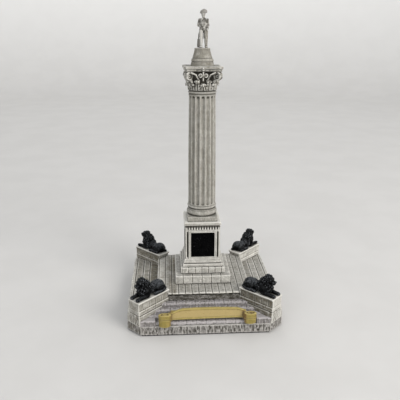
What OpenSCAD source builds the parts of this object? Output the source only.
// Souvenir monument: a fluted column with a standing figure, on a panelled
// pedestal and a canted-corner stepped base with four lions and a blank ribbon.
// Origin: centre of the underside. +Z is up, the front faces -Y.

/* [Base] */
// Width of the base from left to right
base_w = 102.4; // [101.6:0.2:103.2]
// Depth of the base from front to back
base_d = 100; // [99.2:0.2:100.8]
// Leg of each canted corner
cant = 9.2; // [8.8:0.1:9.6]
// Thickness of the foam sheet under the base
pad_t = 1; // [0.6:0.1:1.2]
// Height of the rough-hewn front edge
edge_top = 7; // [6.5:0.1:7.5]
// Height of the paved terrace
terrace_top = 20.6; // [20:0.1:21]
// Thickness of the paving
paving_t = 2; // [1.5:0.1:2.5]
// Width of the square terrace
terrace_w = 63; // [62:0.5:64]

/* [Stairs] */
// Number of steps in the front and back stairs
stair_steps = 4; // [3:1:5]
// Height of the highest stair tread
stair_top = 15.6; // [15:0.1:16]
// Height of the side rim at the foot of the wing steps
rim_top = 14.2; // [13.6:0.1:14.6]

/* [Lion plinths] */
// Length of a lion plinth along the diagonal
plinth_len = 27; // [26:0.5:27.5]
// Width of a lion plinth
plinth_w = 10.8; // [10.6:0.1:11]
// Height of its top
plinth_top = 23.6; // [23.2:0.1:24]

/* [Pedestal] */
// Half-width of the lower step course
course_low_half = 18.9; // [18.5:0.1:19.2]
// Half-width of the upper step course
course_up_half = 15.15; // [14.8:0.05:15.4]
// Half-width of the sub-plinth
sub_half = 13.7; // [13.4:0.1:14]
// Half-width of the pedestal's foot moulding
foot_half = 12.85; // [12.6:0.05:13]
// Half-width of the pedestal die
die_half = 11.6; // [11.5:0.05:11.7]
// Half-width of the raised panel frames
frame_half = 9.7; // [9.6:0.05:9.8]
// Half-width of the relief panels
panel_half = 8.05; // [7.8:0.05:8.1]
// Half-width of the cornice slab
slab_half = 12.5; // [12.4:0.05:12.7]
// Number of dentils on each side
dentils = 13; // [11:2:15]

/* [Column] */
// Shaft radius at the bottom
shaft_r_low = 9.45; // [9.3:0.05:9.5]
// Shaft radius at the top
shaft_r_top = 8.65; // [8.5:0.05:8.8]
// Number of flutes
flutes = 16; // [12:2:16]
// Half-width of the abacus at its corners
abacus_half = 12.4; // [12.1:0.05:12.5]
// Drum radius at the bottom
drum_r_low = 7.6; // [7.4:0.1:7.8]
// Drum radius at the top
drum_r_top = 4.9; // [4.8:0.1:5.2]

/* [Hidden] */
$fn = 48;
half_w = base_w / 2;
half_d = base_d / 2;
terrace_half = terrace_w / 2;
spread = plinth_w / sqrt(2); // half-width of a plinth measured along an edge of the base
gap = 0.05;                  // glue line around pegs and plates
cut = 1;                     // overshoot of a cutting tool

// Heights of the stack, from the terrace upwards
z_low = 26.5;                // top of the lower step course
z_up = 31;                   // top of the upper step course
z_sub = 33.1;                // top of the sub-plinth
z_foot = 36.4;               // top of the foot moulding
z_die = 57.1;                // top of the die
z_bed = 60.2;                // top of the dentils
z_slab_low = 61;             // underside of the cornice slab
z_slab = 63;                 // top of the cornice slab
z_block = 66.4;              // top of the column's square plinth
z_shaft = 73.4;              // bottom of the shaft
z_flute_low = 75.05;         // lower flute centres
z_flute_top = 145.4;         // upper flute centres
z_neck = 149.7;              // top of the shaft's ring
z_abacus_low = 162;          // underside of the abacus
z_abacus = 163.3;            // underside of its upper tier
z_drum = 164.9;              // top of the abacus
z_drum_top = 175.7;          // top of the drum

// Core rod and figure pin
rod_r = 2;
rod_bore_r = rod_r + 0.1;
rod_low = 3;
rod_top = 170;
pin_r = 0.5;
pin_low = 172;
pin_len = 7;
statue_x = 0.7;              // the figure stands a little off the axis
leg_x = 1.45;
pin_x = statue_x + leg_x;

// Stairs and wings
ledge_w = 1.5;               // plain ledge in front of the lowest step
apron_x = 32.5;              // where the raised apron begins
apron_top = 10.8;
wing_reach = [terrace_half, 37.8, 42.8, 48, half_w];
wing_tops = [15.2, 14.8, 14.4, rim_top];

// Panels
panel_low = 37.8;
panel_high = 55.5;
panel_t = 0.8;
recess_y = 11.1;
frame_y = 12.1;
groove_w = 0.9;              // upright grooves beside a frame
groove_d = 0.8;
groove_end = 0.8;

// Ribbon
banner_x = 0.8;
band_reach = 24;
band_ends = 16.2;            // upper edge at the ends
band_rise = 1;
band_h = 6.1;
band_front = -50.2;          // face of the band at the level of the ledge
band_back = -43.5;
band_lean = 25;
roll_low = 7.4;
roll_h = 8.4;

// Lion plinths
plinth_foot = 14.4;          // top of the plinth's foot
plinth_band = 17.6;          // top of its lower band
plinth_cap = 22.3;           // underside of its top course
peg_r = 0.8;
peg_len = 1.8;
peg_places = [-18, -7];

// Masonry joints
joint_w = 0.35;
joint_d = 0.3;

// ---- shared shapes ----

module block(half_x, half_y, z0, z1)
    translate([-half_x, -half_y, z0]) cube([2 * half_x, 2 * half_y, z1 - z0]);

// Outline of the base with its corners cut off
module canted(x, y)
    polygon([[x - cant, -y], [x, cant - y], [x, y - cant], [x - cant, y],
             [cant - x, y], [-x, y - cant], [-x, cant - y], [cant - x, -y]]);

module rod_bore(z0, z1)
    translate([0, 0, z0 - cut]) cylinder(r = rod_bore_r, h = z1 - z0 + 2 * cut);

// Puts a shape, drawn with +X outwards, on the diagonal of one corner
module at_corner(sx, sy)
    mirror([sx < 0 ? 1 : 0, 0, 0])
        mirror([0, sy < 0 ? 1 : 0, 0])
            translate([(half_w + half_d - cant) / 2, (half_w + half_d - cant) / 2, 0])
                rotate([0, 0, 45]) children();

// Takes the four lion plinths' places out of a deck
module plinth_places(z0, z1)
    for (sx = [-1, 1], sy = [-1, 1])
        at_corner(sx, sy)
            translate([-plinth_len, -plinth_w / 2, z0]) cube([plinth_len + cut, plinth_w, z1 - z0]);

// Ground between two plinths on the +X side, from one distance out to another
module between_plinths(near, far, half_x, half_y)
    intersection() {
        polygon([[near, spread - near], [far, spread - far], [far, far - spread], [near, near - spread]]);
        canted(half_x, half_y);
    }

// Upright grooves on the four faces of a square course
module course_joints(h, z0, z1, spacing)
    for (side = [0:3], i = [-3:3])
        if (abs(i * spacing) < h - joint_w)
            rotate([0, 0, 90 * side])
                translate([i * spacing - joint_w / 2, -h - cut, z0 - cut])
                    cube([joint_w, cut + joint_d, z1 - z0 + 2 * cut]);

module step_course(h, z0, z1, spacing)
    difference() {
        block(h, h, z0, z1);
        course_joints(h, z0, z1, spacing);
        rod_bore(z0, z1);
    }

// ---- base ----

module base_pad()
    color("#2a2a2c")
    linear_extrude(pad_t) canted(half_w - 1.2, half_d - 1.2);

module foundation_slab()
    color("#b9b4aa")
    difference() {
        translate([0, 0, pad_t]) linear_extrude(edge_top - pad_t) canted(half_w, half_d);
        translate([0, 0, rod_low]) cylinder(r = rod_bore_r, h = edge_top);
    }

module terrace_core()
    color("#a59f94")
    difference() {
        block(terrace_half, terrace_half, edge_top, terrace_top - paving_t);
        plinth_places(edge_top - cut, terrace_top);
        rod_bore(edge_top, terrace_top);
    }

module terrace_paving()
    color("#d2cec5")
    difference() {
        block(terrace_half, terrace_half, terrace_top - paving_t, terrace_top);
        plinth_places(edge_top, terrace_top + cut);
        for (side = [-1, 1], i = [0:2])
            translate([side * (18 + 4.5 * i) - joint_w / 2, -half_d, terrace_top - joint_d])
                cube([joint_w, base_d, cut]);
        rod_bore(edge_top, terrace_top);
    }

// Steps from the terrace edge out to the ledge, with a raised apron at each end,
// drawn outwards along +X
module stair() {
    near = terrace_half;
    going = (half_d - near - ledge_w) / stair_steps;
    rise = (stair_top - edge_top) / stair_steps;
    translate([0, 0, edge_top]) {
        for (i = [0:stair_steps - 1])
            linear_extrude(stair_top - edge_top - rise * i)
                between_plinths(near + going * i, near + going * (i + 1), half_d, half_w);
        for (side = [-1, 1])
            linear_extrude(apron_top - edge_top)
                intersection() {
                    polygon([[apron_x + spread, side * apron_x], [half_d, side * apron_x],
                             [half_d, side * (half_d - spread)]]);
                    canted(half_d, half_w);
                }
    }
}

module front_stair() color("#aaa59b") rotate([0, 0, -90]) stair();

module back_stair() color("#aaa59b") rotate([0, 0, 90]) stair();

// Low steps from the terrace down to the rim, drawn outwards along +X
module wing_steps()
    for (i = [0:len(wing_tops) - 1])
        translate([0, 0, edge_top])
            linear_extrude(wing_tops[i] - edge_top)
                between_plinths(wing_reach[i], wing_reach[i + 1], half_w, half_d);

module right_wing_steps() color("#cbc7be") wing_steps();

module left_wing_steps() color("#cbc7be") rotate([0, 0, 180]) wing_steps();

// ---- lion plinths ----

// One course of a plinth, set back by its inset on every side
module plinth_course(inset, z0, z1)
    translate([-plinth_len + inset, -plinth_w / 2 + inset, z0])
        cube([plinth_len - 2 * inset, plinth_w - 2 * inset, z1 - z0]);

module lion_plinth_shape() {
    inset = 0.65;
    long = plinth_len;
    wide = plinth_w;
    difference() {
        union() {
            plinth_course(0, edge_top, plinth_foot);
            plinth_course(0.3, plinth_foot, plinth_band);
            plinth_course(inset, plinth_band, plinth_cap);
            plinth_course(0, plinth_cap, plinth_top);
        }
        // upright joints of the body, on both long sides
        for (side = [-1, 1], i = [1:4])
            translate([-long + i * long / 5, side * (wide / 2 - inset), 0])
                translate([-joint_w / 2, -joint_d, plinth_band])
                    cube([joint_w, 2 * joint_d, plinth_cap - plinth_band]);
        // sockets for the lion's pegs
        for (x = peg_places)
            translate([x, 0, plinth_top - peg_len - gap]) cylinder(r = peg_r + 2 * gap, h = peg_len + cut);
    }
}

module lion_plinth(sx, sy) color("#c6c2b8") at_corner(sx, sy) lion_plinth_shape();

module lion_plinth_front_left() lion_plinth(-1, -1);
module lion_plinth_front_right() lion_plinth(1, -1);
module lion_plinth_back_left() lion_plinth(-1, 1);
module lion_plinth_back_right() lion_plinth(1, 1);

// ---- lions ----

// A limb between two balls, each given as [centre, radius]
module limb(a, b)
    hull() {
        translate(a[0]) sphere(r = a[1], $fn = 16);
        translate(b[0]) sphere(r = b[1], $fn = 16);
    }

module lion_body() {
    // rump, trunk, mane and muzzle
    limb([[-22.3, 0, 3.6], 3.6], [[-20, 0, 3.6], 3.6]);
    limb([[-20, 0, 3], 2.9], [[-9, 0, 3], 2.9]);
    limb([[-12, 0, 3.6], 3.8], [[-8.6, 0, 9.8], 3.9]);
    limb([[-6.7, 0, 4], 3.3], [[-7.5, 0, 9.6], 3.7]);
    limb([[-6, 0, 9.4], 2.4], [[-3.6, 0, 8.9], 1.5]);
    // haunches, hind paws, forelegs and ears
    for (side = [-1, 1]) {
        limb([[-22.3, side * 2.2, 3], 2.9], [[-18.6, side * 3, 2.2], 2.1]);
        limb([[-19, side * 4, 1], 1.2], [[-14.5, side * 3.9, 0.9], 1.1]);
        limb([[-9, side * 2.6, 2], 1.7], [[-1.6, side * 2.3, 1], 1.4]);
        translate([-8, side * 2.8, 12.6]) sphere(r = 0.9, $fn = 16);
    }
    // tail
    limb([[-24.6, 1.2, 2.6], 0.9], [[-23.4, 4.3, 0.9], 0.8]);
}

module lion_shape()
    translate([0, 0, plinth_top]) {
        intersection() {
            lion_body();
            translate([-40, -20, 0]) cube([60, 40, 20]);
        }
        for (x = peg_places)
            translate([x, 0, -peg_len]) cylinder(r = peg_r, h = peg_len + 2, $fn = 24);
    }

module lion(sx, sy) color("#17181b") at_corner(sx, sy) lion_shape();

module lion_front_left() lion(-1, -1);
module lion_front_right() lion(1, -1);
module lion_back_left() lion(-1, 1);
module lion_back_right() lion(1, 1);

// ---- pedestal ----

module step_course_lower() color("#d6d2c9") step_course(course_low_half, terrace_top, z_low, 6.2);

module step_course_upper() color("#d9d5cc") step_course(course_up_half, z_low, z_up, 4.4);

module sub_plinth()
    color("#dedad1")
    difference() {
        block(sub_half, sub_half, z_up, z_sub);
        rod_bore(z_up, z_sub);
    }

module pedestal_base()
    color("#dcd8cf")
    difference() {
        cove_r = 2.4;
        block(foot_half, foot_half, z_sub, z_foot);
        for (side = [0:3])
            rotate([0, 0, 90 * side])
                translate([-half_w, -frame_y - 0.1 - cove_r, z_foot])
                    rotate([0, 90, 0]) cylinder(r = cove_r, h = base_w);
        rod_bore(z_sub, z_foot);
    }

module pedestal_die()
    color("#d8d4cb")
    difference() {
        union() {
            block(die_half, die_half, z_foot, z_die);
            for (side = [0, 1])
                rotate([0, 0, 90 * side]) block(frame_half, frame_y, z_foot, z_die);
        }
        for (side = [0:3])
            rotate([0, 0, 90 * side]) {
                translate([-panel_half, -frame_y - cut, panel_low])
                    cube([2 * panel_half, frame_y + cut - recess_y, panel_high - panel_low]);
                for (x = [-frame_half - groove_w, frame_half])
                    translate([x, -die_half - cut, z_foot + groove_end])
                        cube([groove_w, cut + groove_d, z_die - z_foot - 2 * groove_end]);
            }
        rod_bore(z_foot, z_die);
    }

// Plate with a raised border and a plain wreath, let into a recess
module relief_panel(side)
    color("#17181b")
    rotate([0, 0, 90 * side])
        translate([0, -recess_y, (panel_low + panel_high) / 2])
            rotate([90, 0, 0]) {
                wide = 2 * (panel_half - gap);
                high = panel_high - panel_low - 2 * gap;
                border = 0.7;
                difference() {
                    translate([-wide / 2, -high / 2, 0]) cube([wide, high, panel_t]);
                    translate([-wide / 2 + border, -high / 2 + border, panel_t / 2])
                        cube([wide - 2 * border, high - 2 * border, panel_t]);
                }
                translate([0, 0, panel_t / 2])
                    difference() {
                        cylinder(r = 5, h = 0.3);
                        translate([0, 0, -cut]) cylinder(r = 3.8, h = 2 * cut);
                    }
            }

module relief_panel_front() relief_panel(0);
module relief_panel_right() relief_panel(1);
module relief_panel_back() relief_panel(2);
module relief_panel_left() relief_panel(3);

module pedestal_cornice()
    color("#dad6cd")
    difference() {
        union() {
            block(11.1, 11.1, z_die, z_bed);
            for (side = [0:3], i = [0:dentils - 1])
                rotate([0, 0, 90 * side])
                    translate([-11.3 + i * 21.7 / (dentils - 1), -11.9, z_die + 0.3])
                        cube([0.9, 1.2, z_bed - z_die - 0.3]);
            block(11.5, 11.5, z_bed, z_slab_low);
            block(slab_half, slab_half, z_slab_low, z_slab);
        }
        rod_bore(z_die, z_slab);
    }

// ---- column ----

// Ring of round section, as a cutting-free solid of revolution
module torus(ring_r, tube_r, z)
    translate([0, 0, z])
        rotate_extrude($fn = 72) {
            translate([ring_r - tube_r, 0]) circle(r = tube_r, $fn = 32);
            translate([0, -tube_r]) square([ring_r - tube_r, 2 * tube_r]);
        }

module column_base()
    color("#d3cfc6")
    difference() {
        union() {
            block(10.1, 10.1, z_slab, z_block);
            torus(10.3, 2, z_block + 2);
            translate([0, 0, z_block + 3.2]) cylinder(r = 8.9, h = 2.6);
            torus(9.9, 0.85, z_shaft - 0.9);
        }
        rod_bore(z_slab, z_shaft);
    }

module flute() {
    flute_r = 1.25;
    lean = atan((shaft_r_low - shaft_r_top) / (z_neck - z_shaft));
    long = z_flute_top - z_flute_low;
    translate([shaft_r_low + 0.35, 0, z_flute_low])
        rotate([0, -lean, 0]) {
            cylinder(r = flute_r, h = long, $fn = 24);
            sphere(r = flute_r, $fn = 24);
            translate([0, 0, long]) sphere(r = flute_r, $fn = 24);
        }
}

module column_shaft()
    color("#cfcbc2")
    difference() {
        union() {
            translate([0, 0, z_shaft])
                cylinder(r1 = shaft_r_low, r2 = shaft_r_top, h = z_neck - z_shaft, $fn = 96);
            torus(9.2, 0.8, z_neck - 0.8);
        }
        for (i = [0:flutes - 1])
            rotate([0, 0, i * 360 / flutes]) flute();
        rod_bore(z_shaft, z_neck);
    }

// A curled leaf leaning out from the bell
module leaf(foot_z, tip_z, out_r)
    hull() {
        translate([8.4, -1.6, foot_z]) cube([0.8, 3.2, 0.4]);
        translate([out_r - 0.9, -1.3, tip_z - 2]) cube([0.8, 2.6, 0.4]);
        translate([out_r, 0, tip_z - 0.7]) sphere(r = 0.7, $fn = 12);
    }

// Square plate with its four sides hollowed
module abacus_tier(h, z0, z1)
    difference() {
        block(h, h, z0, z1);
        for (i = [0:3])
            rotate([0, 0, 90 * i])
                translate([0, -h - 34.4, z0 - cut])
                    cylinder(r = 36, h = z1 - z0 + 2 * cut, $fn = 96);
    }

module column_capital()
    color("#cdc9bf")
    difference() {
        union() {
            translate([0, 0, z_neck])
                cylinder(r1 = 8.3, r2 = 9.6, h = z_abacus - z_neck, $fn = 64);
            for (i = [0:7])
                rotate([0, 0, 45 * i + 22.5]) leaf(z_neck, z_neck + 4.8, 10.8);
            // corner scrolls and their stalks
            for (i = [0:3])
                rotate([0, 0, 45 + 90 * i]) {
                    translate([13.4, 1.3, z_abacus_low - 2.8]) rotate([90, 0, 0]) cylinder(r = 2.8, h = 2.6);
                    limb([[9, 0, z_neck + 5], 0.8], [[12.4, 0, z_abacus_low - 3.4], 0.9]);
                }
            abacus_tier(abacus_half - 0.6, z_abacus_low, z_abacus);
            abacus_tier(abacus_half, z_abacus, z_drum);
        }
        rod_bore(z_neck, z_drum);
    }

module statue_drum()
    color("#bdb9b0")
    difference() {
        slope = (drum_r_low - drum_r_top) / (z_drum_top - z_drum);
        ring_low = 2.75;
        ring_high = 4.45;
        union() {
            translate([0, 0, z_drum]) cylinder(r1 = drum_r_low, r2 = drum_r_top, h = z_drum_top - z_drum, $fn = 72);
            translate([0, 0, z_drum + ring_low])
                cylinder(r1 = drum_r_low - slope * ring_low + 0.3, r2 = drum_r_low - slope * ring_high + 0.3,
                         h = ring_high - ring_low, $fn = 72);
        }
        translate([0, 0, z_drum - cut]) cylinder(r = rod_bore_r, h = rod_top - z_drum + cut);
        translate([pin_x, 0, pin_low]) cylinder(r = pin_r + gap, h = z_drum_top);
    }

// ---- figure ----

module statue_body() {
    // legs and shoes
    for (side = [-1, 1]) {
        limb([[side * leg_x, 0, 1], 1], [[side * leg_x, 0, 9.6], 1.5]);
        limb([[side * leg_x, 0, 0.6], 0.9], [[side * 1.7, -1.5, 0.3], 0.8]);
    }
    // coat tails, trunk and shoulders
    limb([[-0.2, 0.7, 6.5], 1.5], [[0, 0.5, 11], 2.2]);
    hull() {
        translate([-0.8, 0, 11.2]) sphere(r = 1.9, $fn = 16);
        translate([0.9, 0, 11.2]) sphere(r = 1.9, $fn = 16);
        translate([-1.6, 0, 16.1]) sphere(r = 1.7, $fn = 16);
        translate([1.4, 0, 16.1]) sphere(r = 1.7, $fn = 16);
    }
    // bent arm on the left, hanging arm on the right
    limb([[-2.3, 0, 16.3], 1.1], [[-3.1, 0.2, 13.4], 0.9]);
    limb([[-3.1, 0.2, 13.4], 0.9], [[-0.9, -1.9, 12.9], 0.8]);
    limb([[2.2, 0, 16.3], 1.1], [[2.7, 0, 13.4], 1]);
    limb([[2.7, 0, 13.4], 1], [[2.3, -1.3, 10.9], 0.8]);
    // neck, head and hat
    limb([[-0.3, 0, 17.4], 0.95], [[-0.1, -0.1, 19.4], 1.4]);
    hull() {
        translate([-1.5, 0.1, 20.9]) sphere(r = 0.9, $fn = 16);
        translate([1.3, 0.1, 21]) sphere(r = 0.9, $fn = 16);
        translate([-0.4, 0.1, 22]) sphere(r = 1.1, $fn = 16);
        translate([0.9, 0.1, 22]) sphere(r = 1.1, $fn = 16);
    }
    // scabbard and coiled rope beside the leg
    limb([[-2, 0.3, 12.3], 0.6], [[-2.9, 0.3, 7.9], 0.5]);
    limb([[-2.9, 0.3, 7.9], 0.5], [[-3.8, 0.3, 0.6], 0.5]);
    limb([[-3.1, 0.2, 5.4], 0.8], [[-3, 0.2, 2.4], 1]);
}

module statue()
    color("#a8a49b")
    difference() {
        intersection() {
            translate([statue_x, 0, z_drum_top]) statue_body();
            block(half_w, half_d, z_drum_top, z_drum_top + 40);
        }
        translate([pin_x, 0, z_drum_top - cut])
            cylinder(r = pin_r + gap, h = pin_low + pin_len - z_drum_top + cut, $fn = 24);
    }

// ---- inner rod and pin ----

module core_rod() color("#9a9da0") translate([0, 0, rod_low]) cylinder(r = rod_r, h = rod_top - rod_low);

module statue_pin() color("#b08d57") translate([pin_x, 0, pin_low]) cylinder(r = pin_r, h = pin_len);

// ---- ribbon ----

// Upper edge of the band, which is highest in the middle
function band_edge(x) = band_ends + band_rise * (1 - pow(x / band_reach, 2));

module band_outline() {
    stops = [-band_reach:4:band_reach];
    upper = [for (x = stops) [x, band_edge(x)]];
    lower = [for (x = stops) [-x, band_edge(x) - band_h]];
    polygon(concat(upper, lower));
}

// Rolled end of the ribbon: an oval roll standing on end
module ribbon_roll() {
    roll_r = 2.2;
    flat = 1.5;
    for (x = [-flat, flat])
        translate([x, 0, 0]) cylinder(r = roll_r, h = roll_h);
    translate([-flat, -roll_r, 0]) cube([2 * flat, 2 * roll_r, roll_h]);
}

module banner_shape()
    translate([banner_x, 0, 0]) {
        difference() {
            translate([0, band_back, 0]) rotate([90, 0, 0]) linear_extrude(10) band_outline();
            // the face of the band leans back
            translate([-half_w, band_front, edge_top])
                rotate([-band_lean, 0, 0]) translate([0, -30, -10]) cube([base_w, 30, 40]);
        }
        for (end = [-1, 1])
            translate([end * 27.2, -half_d - 0.2, roll_low]) ribbon_roll();
        for (end = [-1, 1])
            translate([end * 24.2 - 1.5, -half_d - 0.4, 10]) cube([3, 3, 4.5]);
    }

module banner()
    color("#b7923f")
    difference() {
        banner_shape();
        front_stair();
        foundation_slab();
    }

base_pad();
foundation_slab();
terrace_core();
front_stair();
back_stair();
left_wing_steps();
right_wing_steps();
terrace_paving();
step_course_lower();
step_course_upper();
sub_plinth();
pedestal_base();
pedestal_die();
pedestal_cornice();
relief_panel_front();
relief_panel_back();
relief_panel_left();
relief_panel_right();
column_base();
column_shaft();
column_capital();
statue_drum();
statue();
core_rod();
statue_pin();
lion_plinth_front_left();
lion_plinth_front_right();
lion_plinth_back_left();
lion_plinth_back_right();
lion_front_left();
lion_front_right();
lion_back_left();
lion_back_right();
banner();
